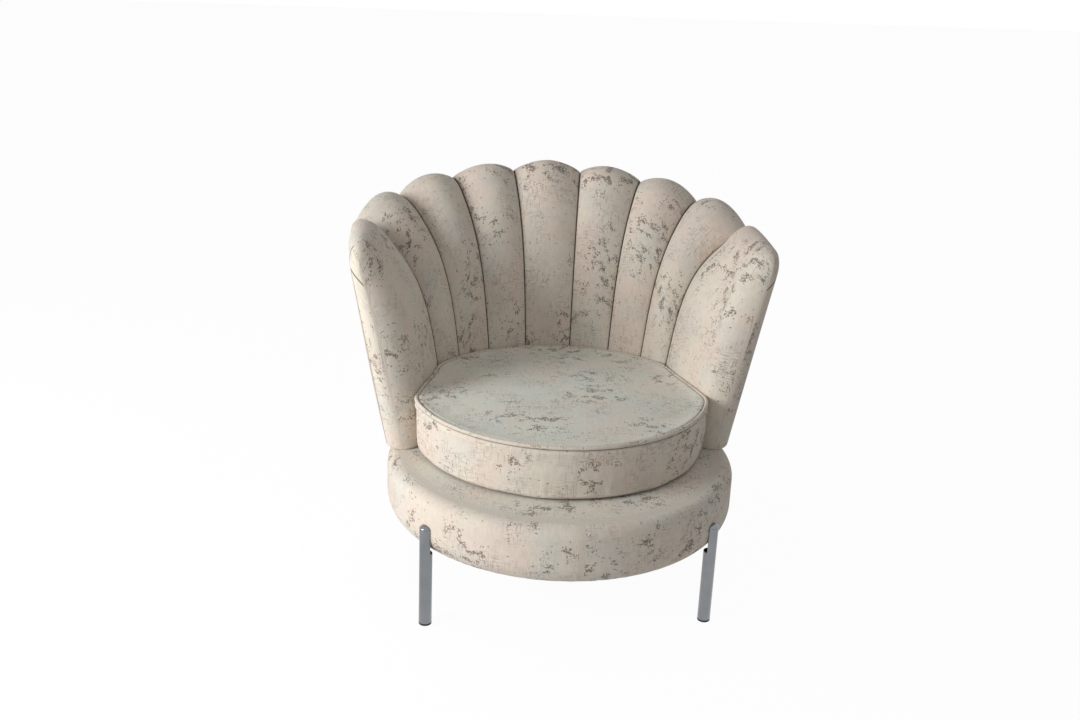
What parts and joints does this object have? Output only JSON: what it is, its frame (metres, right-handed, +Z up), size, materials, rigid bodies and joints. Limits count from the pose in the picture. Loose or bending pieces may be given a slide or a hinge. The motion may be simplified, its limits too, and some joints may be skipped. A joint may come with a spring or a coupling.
{
  "type": "scallop back lounge chair",
  "caption": "Low round lounge chair: channelled tub back with a scalloped rim, piped round-front seat cushion, upholstered drum base on short tubular steel legs.",
  "frame": {"origin": "on the floor under the centre of the chair's bounding box", "axes": "+Z up; -Y is the chair's front, where a sitter's legs go; +X is to the right for a viewer who faces the front"},
  "size_m": [0.8628, 0.864, 0.7629],
  "materials": {
    "upholstery": "matt cut velvet, cream with a worn-looking taupe fleck",
    "leg_steel": "polished",
    "foot_plastic": "matt black",
    "screw_steel": "zinc plated",
    "plywood": "unfinished birch plywood",
    "foam": "open-cell upholstery foam",
    "webbing": "woven elastic webbing",
    "dust_cloth": "black non-woven cloth",
    "zip_tape": "closed coil zip on woven tape"
  },
  "bodies": {
    "root": {"leg_front_right": "leg_steel", "leg_cap_front_right": "leg_steel", "foot_cap_front_right": "foot_plastic", "leg_bolt_front_right": "screw_steel", "leg_rear_right": "leg_steel", "leg_cap_rear_right": "leg_steel", "foot_cap_rear_right": "foot_plastic", "leg_bolt_rear_right": "screw_steel", "leg_rear_left": "leg_steel", "leg_cap_rear_left": "leg_steel", "foot_cap_rear_left": "foot_plastic", "leg_bolt_rear_left": "screw_steel", "leg_front_left": "leg_steel", "leg_cap_front_left": "leg_steel", "foot_cap_front_left": "foot_plastic", "leg_bolt_front_left": "screw_steel", "drum_board": "plywood", "drum_hoop": "plywood", "drum_ring": "plywood", "leg_block_front_right": "plywood", "leg_block_rear_right": "plywood", "leg_block_rear_left": "plywood", "leg_block_front_left": "plywood", "drum_cover": "upholstery", "deck_panel": "upholstery", "dust_cover": "dust_cloth", "webbing_across_1": "webbing", "webbing_along_1": "webbing", "webbing_across_2": "webbing", "webbing_along_2": "webbing", "webbing_across_3": "webbing", "webbing_along_3": "webbing", "channel_1": "upholstery", "channel_2": "upholstery", "channel_3": "upholstery", "channel_4": "upholstery", "channel_5": "upholstery", "channel_6": "upholstery", "channel_7": "upholstery", "channel_8": "upholstery", "channel_9": "upholstery", "shell_panel": "plywood", "shell_rail": "plywood", "outer_cover": "upholstery", "back_rib_1": "plywood", "back_rib_2": "plywood", "back_rib_3": "plywood", "back_rib_4": "plywood", "back_rib_5": "plywood", "shell_bolt_1": "screw_steel", "shell_bolt_2": "screw_steel", "shell_bolt_3": "screw_steel", "shell_bolt_4": "screw_steel", "seat_foam": "foam", "seat_top_panel": "upholstery", "seat_bottom_panel": "upholstery", "seat_band": "upholstery", "seat_zip": "zip_tape", "seat_piping": "upholstery"}
  },
  "joints": []
}
